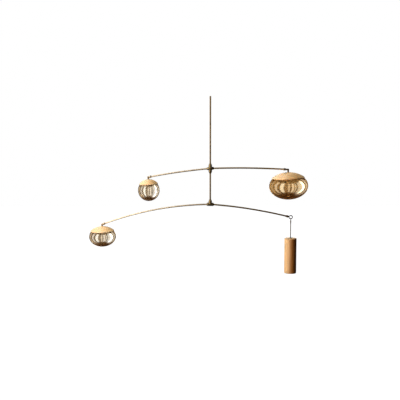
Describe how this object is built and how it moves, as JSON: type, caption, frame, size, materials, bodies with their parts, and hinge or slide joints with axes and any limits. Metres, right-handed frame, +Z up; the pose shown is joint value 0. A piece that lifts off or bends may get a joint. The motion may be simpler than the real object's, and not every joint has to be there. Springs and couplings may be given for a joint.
{
  "type": "hanging mobile sculpture",
  "caption": "Hanging mobile: a plumb stem with tiers of bowed brass arms that carry wood-capped glass globes and a turned wooden weight.",
  "frame": {"origin": "middle of the stem's cut top end, where the mobile is held", "axes": "+Z up along the stem, +X along the right-hand arms towards the large globe and the weight, Y across the arms"},
  "size_m": [1.525, 0.271, 1.2347],
  "materials": {
    "aged_brass": "aged, satin",
    "oak": "pale oiled oak",
    "amber_glass": "clear amber with a lustre"
  },
  "bodies": {
    "stem": {"stem": "aged_brass", "upper_hub_top_collar": "aged_brass", "upper_hub_bottom_collar": "aged_brass", "lower_hub_collar": "aged_brass"},
    "upper_tier": {"upper_hub": "aged_brass", "upper_left_arm": "aged_brass", "upper_right_arm": "aged_brass", "small_globe_sleeve": "aged_brass", "small_globe_elbow": "aged_brass", "small_globe_cap": "oak", "small_globe_glass": "amber_glass", "large_globe_sleeve": "aged_brass", "large_globe_elbow": "aged_brass", "large_globe_cap": "oak", "large_globe_glass": "amber_glass"},
    "lower_tier": {"lower_hub": "aged_brass", "lower_left_arm": "aged_brass", "lower_right_arm": "aged_brass", "medium_globe_sleeve": "aged_brass", "medium_globe_elbow": "aged_brass", "medium_globe_cap": "oak", "medium_globe_glass": "amber_glass", "ring_sleeve": "aged_brass", "end_ring": "aged_brass"},
    "weight": {"weight_hanger": "aged_brass", "weight_washer": "aged_brass", "counterweight": "oak"}
  },
  "joints": [
    {"name": "upper_swivel", "type": "hinge", "parent": "stem", "child": "upper_tier", "pos_m": [0, 0, -0.499], "axis": [0, 0, 1], "continuous": true},
    {"name": "lower_swivel", "type": "hinge", "parent": "stem", "child": "lower_tier", "pos_m": [0, 0, -0.7495], "axis": [0, 0, 1], "continuous": true},
    {"name": "weight_swing", "type": "hinge", "parent": "lower_tier", "child": "weight", "pos_m": [0.56127, 0, -0.85168], "axis": [1, 0, 0], "range_deg": [-90, 90]}
  ]
}
